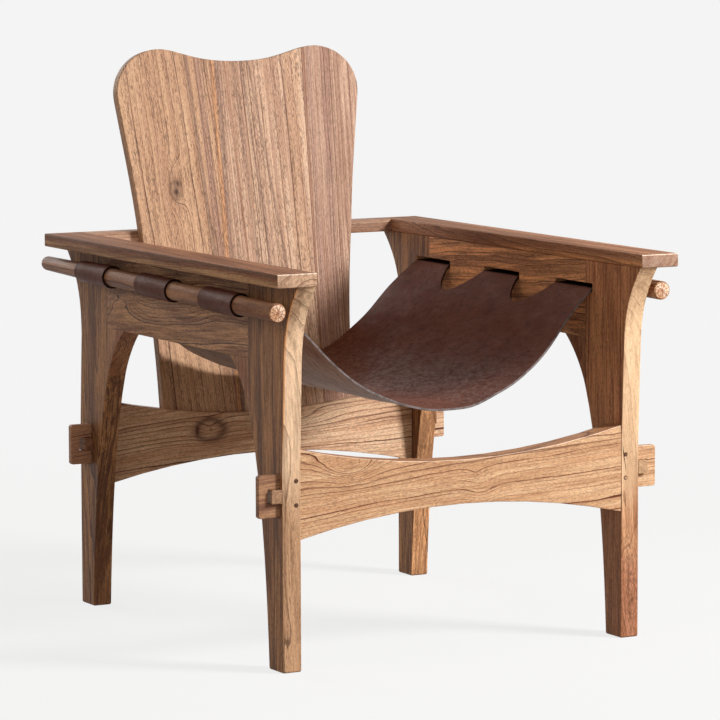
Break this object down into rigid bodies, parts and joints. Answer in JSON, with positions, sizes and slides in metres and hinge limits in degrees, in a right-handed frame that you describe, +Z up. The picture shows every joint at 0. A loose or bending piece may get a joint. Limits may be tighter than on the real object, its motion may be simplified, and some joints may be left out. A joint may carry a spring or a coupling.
{
  "type": "sling lounge chair",
  "caption": "Low wooden lounge chair with plank side frames, wedged stretchers, a butterfly-topped board back and a leather seat slung from round rods outside the arms.",
  "frame": {"origin": "on the floor, under the middle of the chair's overall box", "axes": "+Z up, the sitter looks along -Y, +X to the sitter's left"},
  "size_m": [0.6776, 0.814, 0.8645],
  "materials": {
    "leg_wood": "oiled, straight brown grain with pale sapwood on the front edges",
    "arm_wood": "oiled, mid brown with a pale stripe along the edge",
    "back_wood": "oiled, light brown with dark upright streaks",
    "stretcher_wood": "oiled, honey coloured with dark flowing lines and knots",
    "rod_wood": "oiled, turned, pale end grain",
    "pale_wood": "oiled, pale straight grain",
    "peg_wood": "oiled, dark end grain",
    "leather": "thick dark brown hide, softly shining, rough grey-brown underside",
    "screw_steel": "plain zinc"
  },
  "bodies": {
    "frame": {"front_left_leg": "leg_wood", "front_left_knee_bracket": "leg_wood", "front_left_peg_1": "peg_wood", "front_left_peg_2": "peg_wood", "rear_left_leg": "leg_wood", "rear_left_knee_bracket": "leg_wood", "rear_left_peg_1": "peg_wood", "rear_left_peg_2": "peg_wood", "left_crossbar_pin_1": "pale_wood", "left_crossbar_pin_2": "pale_wood", "left_apron": "leg_wood", "left_armrest": "arm_wood", "front_right_leg": "leg_wood", "front_right_knee_bracket": "leg_wood", "front_right_peg_1": "peg_wood", "front_right_peg_2": "peg_wood", "rear_right_leg": "leg_wood", "rear_right_knee_bracket": "leg_wood", "rear_right_peg_1": "peg_wood", "rear_right_peg_2": "peg_wood", "right_crossbar_pin_1": "pale_wood", "right_crossbar_pin_2": "pale_wood", "right_apron": "leg_wood", "right_armrest": "arm_wood", "back_board_left": "back_wood", "back_board_middle": "back_wood", "back_board_right": "back_wood", "crossbar": "arm_wood", "back_screw_left": "screw_steel", "back_screw_right": "screw_steel", "front_stretcher": "stretcher_wood", "rear_stretcher": "stretcher_wood", "leather_sling": "leather"},
    "front_left_wedge": {"front_left_wedge": "pale_wood"},
    "rear_left_wedge": {"rear_left_wedge": "pale_wood"},
    "left_rod": {"left_rod": "rod_wood"},
    "front_right_wedge": {"front_right_wedge": "pale_wood"},
    "rear_right_wedge": {"rear_right_wedge": "pale_wood"},
    "right_rod": {"right_rod": "rod_wood"}
  },
  "joints": [
    {"name": "front_left_wedge_slide", "type": "slide", "parent": "frame", "child": "front_left_wedge", "axis": [0, -1, 0], "range_m": [0, 0.04]},
    {"name": "front_right_wedge_slide", "type": "slide", "parent": "frame", "child": "front_right_wedge", "axis": [0, -1, 0], "range_m": [0, 0.04]},
    {"name": "rear_left_wedge_slide", "type": "slide", "parent": "frame", "child": "rear_left_wedge", "axis": [0, 1, 0], "range_m": [0, 0.018]},
    {"name": "rear_right_wedge_slide", "type": "slide", "parent": "frame", "child": "rear_right_wedge", "axis": [0, 1, 0], "range_m": [0, 0.018]},
    {"name": "left_rod_slide", "type": "slide", "parent": "frame", "child": "left_rod", "axis": [0, -0.9999, -0.0108], "range_m": [0, 0.67]},
    {"name": "right_rod_slide", "type": "slide", "parent": "frame", "child": "right_rod", "axis": [0, -0.9999, -0.0108], "range_m": [0, 0.67]}
  ]
}
